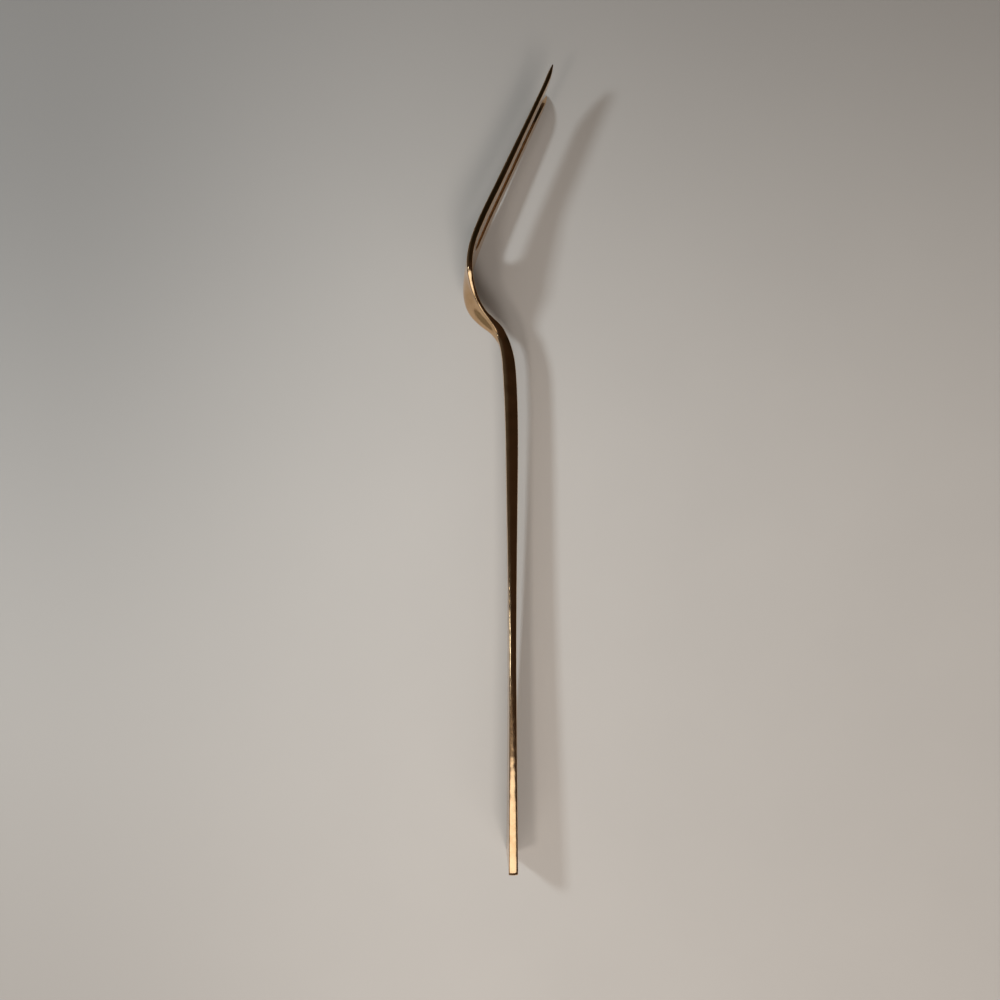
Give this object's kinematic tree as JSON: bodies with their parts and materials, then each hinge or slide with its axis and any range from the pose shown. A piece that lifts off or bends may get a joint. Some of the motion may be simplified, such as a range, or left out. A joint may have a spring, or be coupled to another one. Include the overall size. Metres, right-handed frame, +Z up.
{
  "type": "serving fork",
  "caption": "Two-tined serving fork in polished bronze: flat handle that widens to its end, cranked neck, small bowl and a long slot.",
  "frame": {"origin": "under the middle of the fork's box, on the surface that it lies on", "axes": "+Y from the handle to the tines, +X towards the side that the head is cupped to, +Z up; the fork lies on its long edge and leans 7 degrees"},
  "size_m": [0.026, 0.2248, 0.0214],
  "materials": {
    "bronze": "polished, with soft wear"
  },
  "bodies": {
    "root": {"fork": "bronze"}
  },
  "joints": []
}
